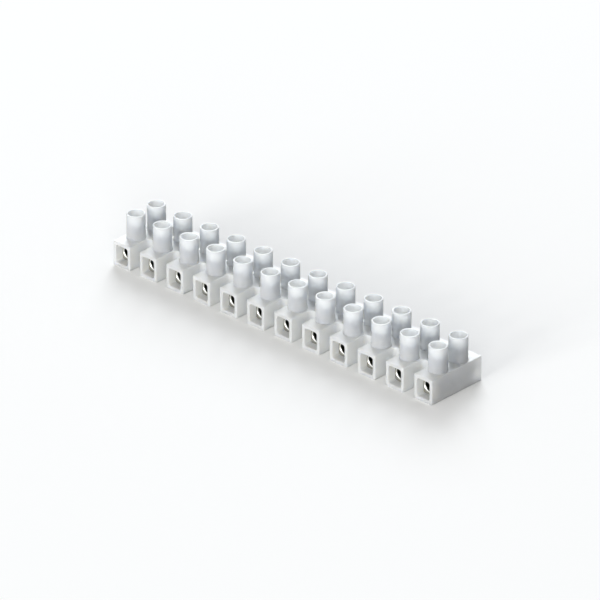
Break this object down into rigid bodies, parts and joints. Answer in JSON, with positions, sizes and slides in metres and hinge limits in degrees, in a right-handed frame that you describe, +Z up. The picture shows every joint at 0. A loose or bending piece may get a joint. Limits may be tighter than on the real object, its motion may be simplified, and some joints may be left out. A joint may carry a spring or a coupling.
{
  "type": "screw terminal strip",
  "caption": "Straight screw terminal strip: a milky moulded housing with two rows of open round towers, metal clamp tubes and slotted clamp screws.",
  "frame": {"origin": "centre of the underside, on the surface that the strip stands on", "axes": "+X along the row of ways, +Y from the front wire entries to the rear ones, +Z up along the towers"},
  "size_m": [0.1164, 0.0194, 0.0144],
  "materials": {
    "milky_plastic": "milky, translucent, satin moulded surface",
    "nickel_brass": "nickel-plated brass with drawn and turned surfaces",
    "zinc_steel": "bright zinc plate"
  },
  "bodies": {
    "strip": {"housing": "milky_plastic", "clamp_tube_01": "nickel_brass", "clamp_tube_02": "nickel_brass", "clamp_tube_03": "nickel_brass", "clamp_tube_04": "nickel_brass", "clamp_tube_05": "nickel_brass", "clamp_tube_06": "nickel_brass", "clamp_tube_07": "nickel_brass", "clamp_tube_08": "nickel_brass", "clamp_tube_09": "nickel_brass", "clamp_tube_10": "nickel_brass", "clamp_tube_11": "nickel_brass", "clamp_tube_12": "nickel_brass"},
    "screw_front_01": {"clamp_screw_front_01": "zinc_steel"},
    "screw_front_02": {"clamp_screw_front_02": "zinc_steel"},
    "screw_front_03": {"clamp_screw_front_03": "zinc_steel"},
    "screw_front_04": {"clamp_screw_front_04": "zinc_steel"},
    "screw_front_05": {"clamp_screw_front_05": "zinc_steel"},
    "screw_front_06": {"clamp_screw_front_06": "zinc_steel"},
    "screw_front_07": {"clamp_screw_front_07": "zinc_steel"},
    "screw_front_08": {"clamp_screw_front_08": "zinc_steel"},
    "screw_front_09": {"clamp_screw_front_09": "zinc_steel"},
    "screw_front_10": {"clamp_screw_front_10": "zinc_steel"},
    "screw_front_11": {"clamp_screw_front_11": "zinc_steel"},
    "screw_front_12": {"clamp_screw_front_12": "zinc_steel"},
    "screw_rear_01": {"clamp_screw_rear_01": "zinc_steel"},
    "screw_rear_02": {"clamp_screw_rear_02": "zinc_steel"},
    "screw_rear_03": {"clamp_screw_rear_03": "zinc_steel"},
    "screw_rear_04": {"clamp_screw_rear_04": "zinc_steel"},
    "screw_rear_05": {"clamp_screw_rear_05": "zinc_steel"},
    "screw_rear_06": {"clamp_screw_rear_06": "zinc_steel"},
    "screw_rear_07": {"clamp_screw_rear_07": "zinc_steel"},
    "screw_rear_08": {"clamp_screw_rear_08": "zinc_steel"},
    "screw_rear_09": {"clamp_screw_rear_09": "zinc_steel"},
    "screw_rear_10": {"clamp_screw_rear_10": "zinc_steel"},
    "screw_rear_11": {"clamp_screw_rear_11": "zinc_steel"},
    "screw_rear_12": {"clamp_screw_rear_12": "zinc_steel"}
  },
  "joints": [
    {"name": "screw_front_01_travel", "type": "slide", "parent": "strip", "child": "screw_front_01", "axis": [0, 0, 1], "range_m": [-0.0031, 0]},
    {"name": "screw_front_02_travel", "type": "slide", "parent": "strip", "child": "screw_front_02", "axis": [0, 0, 1], "range_m": [-0.0031, 0]},
    {"name": "screw_front_03_travel", "type": "slide", "parent": "strip", "child": "screw_front_03", "axis": [0, 0, 1], "range_m": [-0.0031, 0]},
    {"name": "screw_front_04_travel", "type": "slide", "parent": "strip", "child": "screw_front_04", "axis": [0, 0, 1], "range_m": [-0.0031, 0]},
    {"name": "screw_front_05_travel", "type": "slide", "parent": "strip", "child": "screw_front_05", "axis": [0, 0, 1], "range_m": [-0.0031, 0]},
    {"name": "screw_front_06_travel", "type": "slide", "parent": "strip", "child": "screw_front_06", "axis": [0, 0, 1], "range_m": [-0.0031, 0]},
    {"name": "screw_front_07_travel", "type": "slide", "parent": "strip", "child": "screw_front_07", "axis": [0, 0, 1], "range_m": [-0.0031, 0]},
    {"name": "screw_front_08_travel", "type": "slide", "parent": "strip", "child": "screw_front_08", "axis": [0, 0, 1], "range_m": [-0.0031, 0]},
    {"name": "screw_front_09_travel", "type": "slide", "parent": "strip", "child": "screw_front_09", "axis": [0, 0, 1], "range_m": [-0.0031, 0]},
    {"name": "screw_front_10_travel", "type": "slide", "parent": "strip", "child": "screw_front_10", "axis": [0, 0, 1], "range_m": [-0.0031, 0]},
    {"name": "screw_front_11_travel", "type": "slide", "parent": "strip", "child": "screw_front_11", "axis": [0, 0, 1], "range_m": [-0.0031, 0]},
    {"name": "screw_front_12_travel", "type": "slide", "parent": "strip", "child": "screw_front_12", "axis": [0, 0, 1], "range_m": [-0.0031, 0]},
    {"name": "screw_rear_01_travel", "type": "slide", "parent": "strip", "child": "screw_rear_01", "axis": [0, 0, 1], "range_m": [-0.0031, 0]},
    {"name": "screw_rear_02_travel", "type": "slide", "parent": "strip", "child": "screw_rear_02", "axis": [0, 0, 1], "range_m": [-0.0031, 0]},
    {"name": "screw_rear_03_travel", "type": "slide", "parent": "strip", "child": "screw_rear_03", "axis": [0, 0, 1], "range_m": [-0.0031, 0]},
    {"name": "screw_rear_04_travel", "type": "slide", "parent": "strip", "child": "screw_rear_04", "axis": [0, 0, 1], "range_m": [-0.0031, 0]},
    {"name": "screw_rear_05_travel", "type": "slide", "parent": "strip", "child": "screw_rear_05", "axis": [0, 0, 1], "range_m": [-0.0031, 0]},
    {"name": "screw_rear_06_travel", "type": "slide", "parent": "strip", "child": "screw_rear_06", "axis": [0, 0, 1], "range_m": [-0.0031, 0]},
    {"name": "screw_rear_07_travel", "type": "slide", "parent": "strip", "child": "screw_rear_07", "axis": [0, 0, 1], "range_m": [-0.0031, 0]},
    {"name": "screw_rear_08_travel", "type": "slide", "parent": "strip", "child": "screw_rear_08", "axis": [0, 0, 1], "range_m": [-0.0031, 0]},
    {"name": "screw_rear_09_travel", "type": "slide", "parent": "strip", "child": "screw_rear_09", "axis": [0, 0, 1], "range_m": [-0.0031, 0]},
    {"name": "screw_rear_10_travel", "type": "slide", "parent": "strip", "child": "screw_rear_10", "axis": [0, 0, 1], "range_m": [-0.0031, 0]},
    {"name": "screw_rear_11_travel", "type": "slide", "parent": "strip", "child": "screw_rear_11", "axis": [0, 0, 1], "range_m": [-0.0031, 0]},
    {"name": "screw_rear_12_travel", "type": "slide", "parent": "strip", "child": "screw_rear_12", "axis": [0, 0, 1], "range_m": [-0.0031, 0]}
  ]
}
